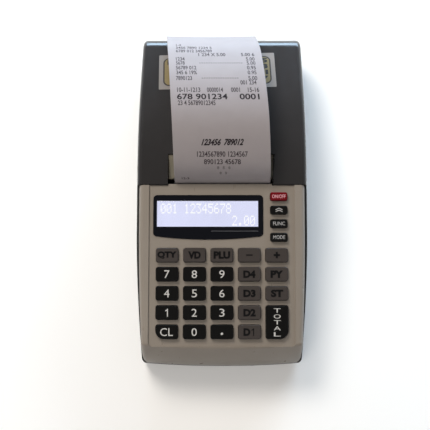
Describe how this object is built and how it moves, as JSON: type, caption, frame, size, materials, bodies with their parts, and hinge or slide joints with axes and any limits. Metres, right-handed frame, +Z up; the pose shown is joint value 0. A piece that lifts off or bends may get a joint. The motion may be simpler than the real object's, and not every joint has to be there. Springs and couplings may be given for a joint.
{
  "type": "portable cash register",
  "caption": "Portable battery-fed cash register with a recessed keyboard, a lit display and a hinged cover over a built-in receipt printer, with paper coming out.",
  "frame": {"origin": "centre of the footprint, on the surface that the rubber feet stand on", "axes": "+Z up, +Y from the keyboard's nose to the hinge at the rear, +X to the right of whoever keys"},
  "size_m": [0.1044, 0.2126, 0.069],
  "materials": {
    "base_plastic": "fine textured dark grey ABS",
    "case_plastic": "fine textured warm light grey ABS",
    "cover_plastic": "satin charcoal ABS",
    "ramp_plastic": "fine textured grey ABS",
    "steel": "plain bright",
    "silicone": "matt translucent grey",
    "circuit_board": "green solder mask",
    "window_acrylic": "polished, back printed black",
    "display_glass": "back-lit white display",
    "platen_rubber": "ground matt",
    "bush_plastic": "natural acetal",
    "gear_plastic": "natural acetal",
    "brass": "cut",
    "motor_steel": "zinc plated can",
    "frame_steel": "zinc plated sheet",
    "head_aluminium": "plain plate with a glazed heater strip",
    "paper": "thermal paper",
    "receipt_paper": "thermal paper, printed",
    "cardboard": "plain",
    "battery_wrap": "shrink wrap",
    "inlet_plastic": "moulded black",
    "foot_rubber": "matt black",
    "key_dark": "satin black key with a white legend",
    "key_grey": "satin grey key with a dark legend",
    "key_red": "satin red key with a pale legend"
  },
  "bodies": {
    "body": {"lower_case": "base_plastic", "upper_case": "case_plastic", "hinge_pins": "steel", "keypad_mat": "silicone", "key_board": "circuit_board", "display_window": "window_acrylic", "display_module": "display_glass", "stepper_motor": "motor_steel", "printer_frame": "frame_steel", "head_springs": "steel", "roll_bay": "base_plastic", "paper_web": "paper", "main_board": "circuit_board", "battery_pack": "battery_wrap", "battery_door": "base_plastic", "power_inlet": "inlet_plastic", "rubber_feet": "foot_rubber", "case_screws": "steel", "inner_screws": "steel"},
    "cover": {"printer_cover": "cover_plastic", "platen_carrier": "ramp_plastic", "tear_bar": "steel", "platen_bushes": "bush_plastic", "receipt_strip": "receipt_paper"},
    "platen": {"platen_roller": "platen_rubber", "platen_shaft": "steel", "platen_gear": "gear_plastic"},
    "idler": {"idler_gear": "gear_plastic"},
    "pinion": {"motor_pinion": "brass"},
    "roll": {"paper_roll": "paper", "roll_core": "cardboard"},
    "head": {"print_head": "head_aluminium"},
    "quantity_key": {"key_quantity": "key_grey"},
    "void_key": {"key_void": "key_grey"},
    "lookup_key": {"key_lookup": "key_grey"},
    "minus_key": {"key_minus": "key_grey"},
    "plus_key": {"key_plus": "key_grey"},
    "7_key": {"key_7": "key_dark"},
    "8_key": {"key_8": "key_dark"},
    "9_key": {"key_9": "key_dark"},
    "dept_4_key": {"key_dept_4": "key_grey"},
    "pay_key": {"key_pay": "key_grey"},
    "4_key": {"key_4": "key_dark"},
    "5_key": {"key_5": "key_dark"},
    "6_key": {"key_6": "key_dark"},
    "dept_3_key": {"key_dept_3": "key_grey"},
    "subtotal_key": {"key_subtotal": "key_grey"},
    "1_key": {"key_1": "key_dark"},
    "2_key": {"key_2": "key_dark"},
    "3_key": {"key_3": "key_dark"},
    "dept_2_key": {"key_dept_2": "key_grey"},
    "sum_key": {"key_sum": "key_dark"},
    "clear_key": {"key_clear": "key_dark"},
    "0_key": {"key_0": "key_dark"},
    "point_key": {"key_point": "key_dark"},
    "dept_1_key": {"key_dept_1": "key_grey"},
    "power_key": {"key_power": "key_red"},
    "feed_key": {"key_feed": "key_dark"},
    "function_key": {"key_function": "key_dark"},
    "mode_key": {"key_mode": "key_dark"}
  },
  "joints": [
    {"name": "cover_hinge", "type": "hinge", "parent": "body", "child": "cover", "pos_m": [0, 0.0999, 0.0292], "axis": [-1, 0, 0], "range_deg": [0, 80]},
    {"name": "platen_spin", "type": "hinge", "parent": "cover", "child": "platen", "pos_m": [0, 0.0103, 0.0376], "axis": [1, 0, 0], "continuous": true},
    {"name": "idler_spin", "type": "hinge", "parent": "body", "child": "idler", "pos_m": [0, 0.00923, 0.02454], "axis": [1, 0, 0], "continuous": true},
    {"name": "pinion_spin", "type": "hinge", "parent": "body", "child": "pinion", "pos_m": [0, 0.01572, 0.01681], "axis": [1, 0, 0], "continuous": true},
    {"name": "roll_spin", "type": "hinge", "parent": "body", "child": "roll", "pos_m": [0, 0.0613, 0.0243], "axis": [1, 0, 0], "continuous": true},
    {"name": "head_tip", "type": "hinge", "parent": "body", "child": "head", "pos_m": [0, 0.00643, 0.02717], "axis": [1, 0, 0], "range_deg": [0, 1.5], "stiffness_Nm_per_rad": 0.5},
    {"name": "quantity_press", "type": "slide", "parent": "body", "child": "quantity_key", "axis": [0, 0.1668, -0.986], "range_m": [0, 0.0011], "stiffness_N_per_m": 300},
    {"name": "void_press", "type": "slide", "parent": "body", "child": "void_key", "axis": [0, 0.1668, -0.986], "range_m": [0, 0.0011], "stiffness_N_per_m": 300},
    {"name": "lookup_press", "type": "slide", "parent": "body", "child": "lookup_key", "axis": [0, 0.1668, -0.986], "range_m": [0, 0.0011], "stiffness_N_per_m": 300},
    {"name": "minus_press", "type": "slide", "parent": "body", "child": "minus_key", "axis": [0, 0.1668, -0.986], "range_m": [0, 0.0011], "stiffness_N_per_m": 300},
    {"name": "plus_press", "type": "slide", "parent": "body", "child": "plus_key", "axis": [0, 0.1668, -0.986], "range_m": [0, 0.0011], "stiffness_N_per_m": 300},
    {"name": "7_press", "type": "slide", "parent": "body", "child": "7_key", "axis": [0, 0.1668, -0.986], "range_m": [0, 0.0011], "stiffness_N_per_m": 300},
    {"name": "8_press", "type": "slide", "parent": "body", "child": "8_key", "axis": [0, 0.1668, -0.986], "range_m": [0, 0.0011], "stiffness_N_per_m": 300},
    {"name": "9_press", "type": "slide", "parent": "body", "child": "9_key", "axis": [0, 0.1668, -0.986], "range_m": [0, 0.0011], "stiffness_N_per_m": 300},
    {"name": "dept_4_press", "type": "slide", "parent": "body", "child": "dept_4_key", "axis": [0, 0.1668, -0.986], "range_m": [0, 0.0011], "stiffness_N_per_m": 300},
    {"name": "pay_press", "type": "slide", "parent": "body", "child": "pay_key", "axis": [0, 0.1668, -0.986], "range_m": [0, 0.0011], "stiffness_N_per_m": 300},
    {"name": "4_press", "type": "slide", "parent": "body", "child": "4_key", "axis": [0, 0.1668, -0.986], "range_m": [0, 0.0011], "stiffness_N_per_m": 300},
    {"name": "5_press", "type": "slide", "parent": "body", "child": "5_key", "axis": [0, 0.1668, -0.986], "range_m": [0, 0.0011], "stiffness_N_per_m": 300},
    {"name": "6_press", "type": "slide", "parent": "body", "child": "6_key", "axis": [0, 0.1668, -0.986], "range_m": [0, 0.0011], "stiffness_N_per_m": 300},
    {"name": "dept_3_press", "type": "slide", "parent": "body", "child": "dept_3_key", "axis": [0, 0.1668, -0.986], "range_m": [0, 0.0011], "stiffness_N_per_m": 300},
    {"name": "subtotal_press", "type": "slide", "parent": "body", "child": "subtotal_key", "axis": [0, 0.1668, -0.986], "range_m": [0, 0.0011], "stiffness_N_per_m": 300},
    {"name": "1_press", "type": "slide", "parent": "body", "child": "1_key", "axis": [0, 0.1668, -0.986], "range_m": [0, 0.0011], "stiffness_N_per_m": 300},
    {"name": "2_press", "type": "slide", "parent": "body", "child": "2_key", "axis": [0, 0.1668, -0.986], "range_m": [0, 0.0011], "stiffness_N_per_m": 300},
    {"name": "3_press", "type": "slide", "parent": "body", "child": "3_key", "axis": [0, 0.1668, -0.986], "range_m": [0, 0.0011], "stiffness_N_per_m": 300},
    {"name": "dept_2_press", "type": "slide", "parent": "body", "child": "dept_2_key", "axis": [0, 0.1668, -0.986], "range_m": [0, 0.0011], "stiffness_N_per_m": 300},
    {"name": "sum_press", "type": "slide", "parent": "body", "child": "sum_key", "axis": [0, 0.1668, -0.986], "range_m": [0, 0.0011], "stiffness_N_per_m": 300},
    {"name": "clear_press", "type": "slide", "parent": "body", "child": "clear_key", "axis": [0, 0.1668, -0.986], "range_m": [0, 0.0011], "stiffness_N_per_m": 300},
    {"name": "0_press", "type": "slide", "parent": "body", "child": "0_key", "axis": [0, 0.1668, -0.986], "range_m": [0, 0.0011], "stiffness_N_per_m": 300},
    {"name": "point_press", "type": "slide", "parent": "body", "child": "point_key", "axis": [0, 0.1668, -0.986], "range_m": [0, 0.0011], "stiffness_N_per_m": 300},
    {"name": "dept_1_press", "type": "slide", "parent": "body", "child": "dept_1_key", "axis": [0, 0.1668, -0.986], "range_m": [0, 0.0011], "stiffness_N_per_m": 300},
    {"name": "power_press", "type": "slide", "parent": "body", "child": "power_key", "axis": [0, 0.1668, -0.986], "range_m": [0, 0.0011], "stiffness_N_per_m": 300},
    {"name": "feed_press", "type": "slide", "parent": "body", "child": "feed_key", "axis": [0, 0.1668, -0.986], "range_m": [0, 0.0011], "stiffness_N_per_m": 300},
    {"name": "function_press", "type": "slide", "parent": "body", "child": "function_key", "axis": [0, 0.1668, -0.986], "range_m": [0, 0.0011], "stiffness_N_per_m": 300},
    {"name": "mode_press", "type": "slide", "parent": "body", "child": "mode_key", "axis": [0, 0.1668, -0.986], "range_m": [0, 0.0011], "stiffness_N_per_m": 300}
  ],
  "couplings": [
    {"joint": "idler_spin", "follows": "platen_spin", "ratio": -0.85714},
    {"joint": "pinion_spin", "follows": "platen_spin", "ratio": 2},
    {"joint": "roll_spin", "follows": "platen_spin", "ratio": 0.26316}
  ]
}
